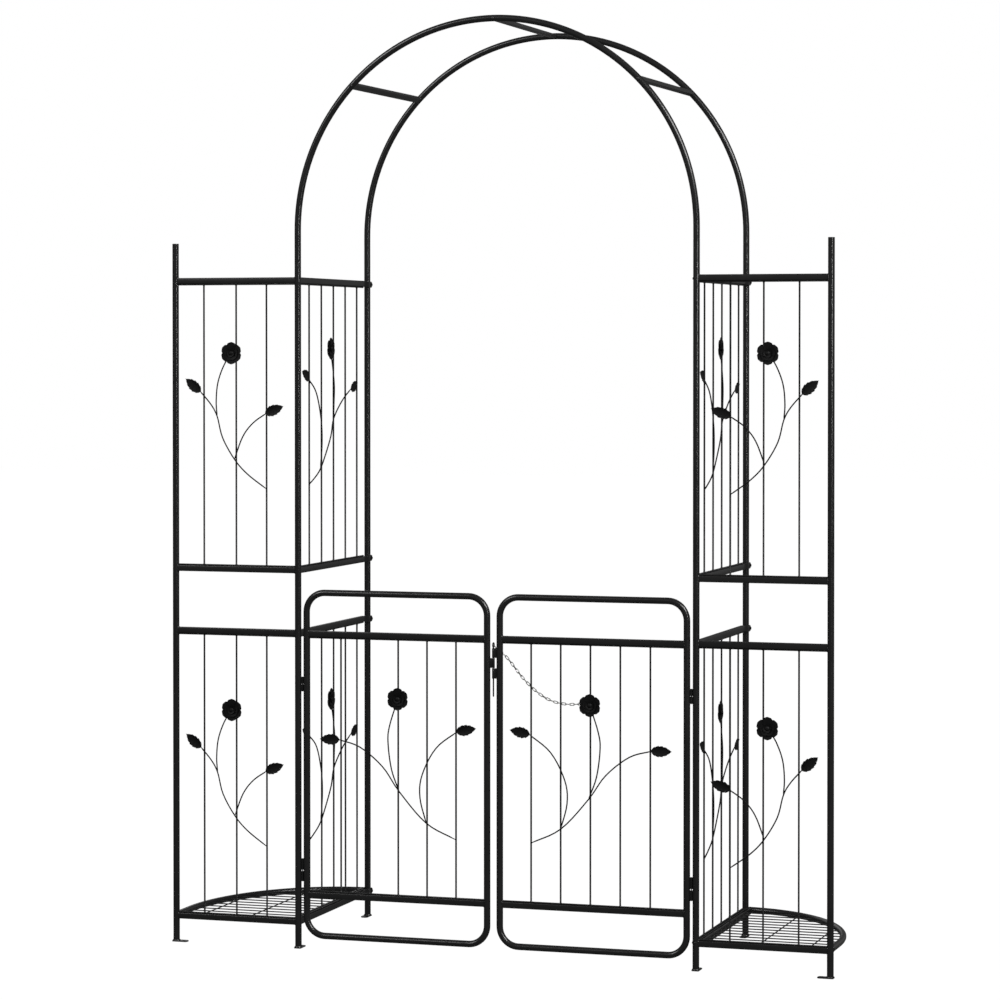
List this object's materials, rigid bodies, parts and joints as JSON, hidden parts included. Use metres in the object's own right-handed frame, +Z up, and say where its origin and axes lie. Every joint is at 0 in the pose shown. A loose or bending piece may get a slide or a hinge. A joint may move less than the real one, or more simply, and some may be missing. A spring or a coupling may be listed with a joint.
{
  "type": "metal trellis arch",
  "caption": "Free-standing metal garden arch with trellis side sections, swinging gates with a drop-pin latch, and corner planter shelves.",
  "frame": {"origin": "on the ground, in the middle of the object's bounding box", "axes": "+X to the right seen from the front, +Y to the rear, +Z up"},
  "size_m": [1.68, 0.521, 2.2842],
  "materials": {
    "tube_paint": "satin black powder coat",
    "rail_paint": "satin black powder coat",
    "wire_paint": "satin black powder coat",
    "spray_paint": "matt black paint",
    "chain_steel": "zinc plated"
  },
  "bodies": {
    "root": {"left_outer_post_lower": "tube_paint", "left_outer_post_upper": "tube_paint", "left_inner_front_post_lower": "tube_paint", "left_inner_front_post_upper": "tube_paint", "left_inner_rear_post_lower": "tube_paint", "left_inner_rear_post_upper": "tube_paint", "left_front_panel_upper": "rail_paint", "left_front_spray_upper": "spray_paint", "left_front_panel_lower": "rail_paint", "left_front_spray_lower": "spray_paint", "left_side_panel_upper": "rail_paint", "left_side_spray_upper": "spray_paint", "left_side_panel_lower": "rail_paint", "left_side_spray_lower": "spray_paint", "left_shelf_frame": "tube_paint", "left_shelf_grid": "wire_paint", "left_top_hinge_pintle": "tube_paint", "left_bottom_hinge_pintle": "tube_paint", "right_outer_post_lower": "tube_paint", "right_outer_post_upper": "tube_paint", "right_inner_front_post_lower": "tube_paint", "right_inner_front_post_upper": "tube_paint", "right_inner_rear_post_lower": "tube_paint", "right_inner_rear_post_upper": "tube_paint", "right_front_panel_upper": "rail_paint", "right_front_spray_upper": "spray_paint", "right_front_panel_lower": "rail_paint", "right_front_spray_lower": "spray_paint", "right_side_panel_upper": "rail_paint", "right_side_spray_upper": "spray_paint", "right_side_panel_lower": "rail_paint", "right_side_spray_lower": "spray_paint", "right_shelf_frame": "tube_paint", "right_shelf_grid": "wire_paint", "right_top_hinge_pintle": "tube_paint", "right_bottom_hinge_pintle": "tube_paint", "front_hoop_left": "tube_paint", "front_hoop_right": "tube_paint", "rear_hoop_left": "tube_paint", "rear_hoop_right": "tube_paint", "slat_left": "rail_paint", "slat_top": "rail_paint", "slat_right": "rail_paint"},
    "left_gate": {"left_gate_frame": "tube_paint", "left_gate_infill": "rail_paint", "left_gate_spray": "spray_paint", "left_top_hinge_barrel": "tube_paint", "left_bottom_hinge_barrel": "tube_paint", "left_latch_knuckle": "tube_paint"},
    "right_gate": {"right_gate_frame": "tube_paint", "right_gate_infill": "rail_paint", "right_gate_spray": "spray_paint", "right_top_hinge_barrel": "tube_paint", "right_bottom_hinge_barrel": "tube_paint", "right_latch_knuckle_upper": "tube_paint", "right_latch_knuckle_lower": "tube_paint", "latch_chain": "chain_steel"},
    "latch_pin": {"latch_pin": "tube_paint"}
  },
  "joints": [
    {"name": "left_gate_hinge", "type": "hinge", "parent": "root", "child": "left_gate", "pos_m": [-0.49425, -0.2485, 0.4], "axis": [0, 0, 1], "range_deg": [-85, 78]},
    {"name": "right_gate_hinge", "type": "hinge", "parent": "root", "child": "right_gate", "pos_m": [0.49425, -0.2485, 0.4], "axis": [0, 0, 1], "range_deg": [-78, 85]},
    {"name": "latch_pin_lift", "type": "slide", "parent": "right_gate", "child": "latch_pin", "axis": [0, 0, 1], "range_m": [0, 0.096]}
  ]
}
